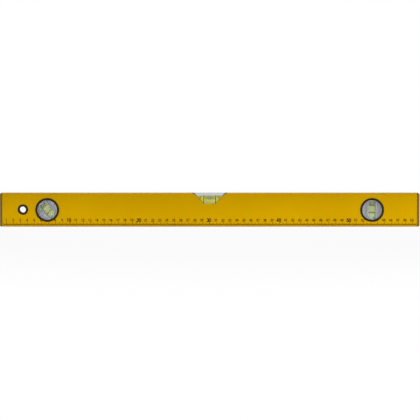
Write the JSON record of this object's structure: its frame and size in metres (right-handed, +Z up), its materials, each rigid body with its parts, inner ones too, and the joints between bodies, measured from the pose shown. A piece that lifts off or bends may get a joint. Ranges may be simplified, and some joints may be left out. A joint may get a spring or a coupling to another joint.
{
  "type": "spirit level",
  "caption": "Long yellow box-section spirit level with a notched top vial, plumb and angled vials in black-rimmed round windows, a sleeved hang hole, end caps and a centimetre scale.",
  "frame": {"origin": "on the measuring face (the underside), under the middle of the level", "axes": "+X along the level, towards the plumb vial; -Y out of the face with the scale; +Z up, from the measuring face to the notched edge"},
  "size_m": [0.6, 0.0224, 0.048],
  "materials": {
    "yellow_coat": "satin",
    "cap_plastic": "satin",
    "black_abs": "satin",
    "grey_abs": "satin",
    "white_abs": "satin",
    "clear_acrylic": "polished",
    "vial_acrylic": "polished",
    "marker_ink": "matte",
    "spirit": "polished",
    "air": "polished"
  },
  "bodies": {
    "level": {"profile": "yellow_coat", "end_cap_left": "cap_plastic", "end_cap_right": "cap_plastic", "hang_sleeve_front": "black_abs", "hang_sleeve_rear": "black_abs", "centre_cover": "clear_acrylic", "centre_cradle": "white_abs", "centre_tube": "vial_acrylic", "centre_plug": "white_abs", "centre_markers": "marker_ink", "centre_spirit": "spirit", "plumb_bezel_front": "black_abs", "plumb_bezel_rear": "black_abs", "plumb_window_front": "clear_acrylic", "plumb_window_rear": "clear_acrylic", "plumb_carrier": "grey_abs", "plumb_tube": "vial_acrylic", "plumb_plug": "white_abs", "plumb_markers": "marker_ink", "plumb_spirit": "spirit", "angle_bezel_front": "black_abs", "angle_bezel_rear": "black_abs", "angle_window_front": "clear_acrylic", "angle_window_rear": "clear_acrylic", "angle_carrier": "grey_abs", "angle_tube": "vial_acrylic", "angle_plug": "white_abs", "angle_markers": "marker_ink", "angle_spirit": "spirit"},
    "centre_air": {"centre_bubble": "air"},
    "plumb_air": {"plumb_bubble": "air"},
    "angle_air": {"angle_bubble": "air"}
  },
  "joints": [
    {"name": "centre_bubble_slide", "type": "slide", "parent": "level", "child": "centre_air", "axis": [1, 0, 0], "range_m": [-0.01255, 0.01255], "stiffness_N_per_m": 0.1, "deforming": ["centre_spirit"]},
    {"name": "plumb_bubble_slide", "type": "slide", "parent": "level", "child": "plumb_air", "axis": [0, 0, 1], "range_m": [-0.01696, 0], "stiffness_N_per_m": 0.1, "springref_m": 0.02, "deforming": ["plumb_spirit"]},
    {"name": "angle_bubble_slide", "type": "slide", "parent": "level", "child": "angle_air", "axis": [-0.7071, 0, 0.7071], "range_m": [-0.01696, 0], "stiffness_N_per_m": 0.1, "springref_m": 0.02, "deforming": ["angle_spirit"]}
  ]
}
